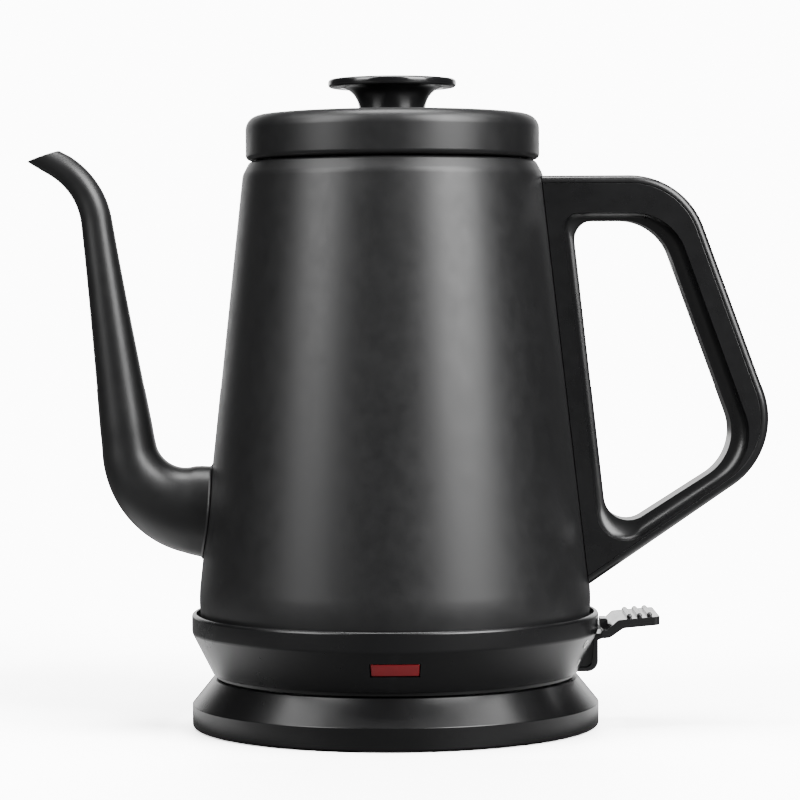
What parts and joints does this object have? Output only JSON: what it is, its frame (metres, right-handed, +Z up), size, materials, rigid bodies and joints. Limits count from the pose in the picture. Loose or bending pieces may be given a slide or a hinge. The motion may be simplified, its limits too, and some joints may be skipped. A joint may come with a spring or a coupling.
{
  "type": "electric kettle",
  "caption": "Gooseneck electric kettle with conical body, open triangular handle, lift-off lid and round cordless power base.",
  "frame": {"origin": "on the kettle's axis, on the surface that the base's feet stand on", "axes": "+Z up along the kettle's axis, +X towards the handle, -X towards the spout, -Y towards the indicator window"},
  "size_m": [0.2537, 0.141, 0.2224],
  "materials": {
    "black_plastic": "satin black moulded plastic, fine grain",
    "handle_plastic": "smooth semi-gloss black moulded plastic",
    "gloss_black": "polished black plastic",
    "powder_coat": "satin black powder coat on steel, fine orange peel",
    "white_plastic": "heat-proof moulding",
    "steel": "plain stainless steel",
    "aluminium": "plain pressed plate",
    "brass": "plain strip and pin",
    "rubber": "soft black rubber",
    "silicone": "translucent grey silicone",
    "red_lens": "dark red translucent plastic",
    "lamp_glass": "clear glass",
    "red_lead": "insulated wire"
  },
  "bodies": {
    "base": {"base_upper_shell": "black_plastic", "base_lower_plate": "black_plastic", "base_foot_1": "rubber", "base_foot_2": "rubber", "base_foot_3": "rubber", "base_foot_4": "rubber", "base_screw_1": "steel", "base_screw_2": "steel", "base_screw_3": "steel", "base_connector": "black_plastic", "base_contact_line": "brass", "base_contact_neutral": "brass", "base_contact_earth": "brass", "cord_gland": "rubber", "cord_clamp": "black_plastic"},
    "connector": {"kettle_connector": "black_plastic", "contact_ring_line": "brass", "contact_ring_neutral": "brass", "earth_pin": "brass"},
    "kettle": {"body_shell": "powder_coat", "spout": "powder_coat", "vessel_floor": "steel", "heat_plate": "aluminium", "heating_element": "steel", "control_housing": "white_plastic", "boil_dry_disc": "steel", "steam_tube": "steel", "steam_bimetal": "brass", "switch_carrier": "black_plastic", "lever_pin": "steel", "snap_spring": "steel", "collar": "black_plastic", "collar_bottom_cover": "black_plastic", "cover_screw_1": "steel", "cover_screw_2": "steel", "cover_screw_3": "steel", "indicator_lens": "red_lens", "indicator_lamp": "lamp_glass", "lamp_holder": "white_plastic", "lamp_lead_a": "red_lead", "lamp_lead_b": "red_lead", "handle_frame": "handle_plastic", "handle_cover": "handle_plastic", "handle_boss_top": "steel", "handle_boss_bottom": "steel", "handle_screw_top": "steel", "handle_screw_bottom": "steel"},
    "lid": {"lid_shell": "powder_coat", "lid_inner": "black_plastic", "lid_gasket": "silicone", "lid_knob": "gloss_black", "lid_screw": "steel"},
    "lever": {"switch_lever": "gloss_black"}
  },
  "joints": [
    {"name": "kettle_lift", "type": "slide", "parent": "base", "child": "connector", "axis": [0, 0, 1], "range_m": [0, 0.05]},
    {"name": "kettle_swivel", "type": "hinge", "parent": "connector", "child": "kettle", "pos_m": [0, 0, 0.02], "axis": [0, 0, 1], "continuous": true},
    {"name": "lid_lift", "type": "slide", "parent": "kettle", "child": "lid", "axis": [0, 0, 1], "range_m": [0, 0.04]},
    {"name": "lever_press", "type": "hinge", "parent": "kettle", "child": "lever", "pos_m": [0.059, 0, 0.027], "axis": [0, 1, 0], "range_deg": [0, 8]}
  ]
}
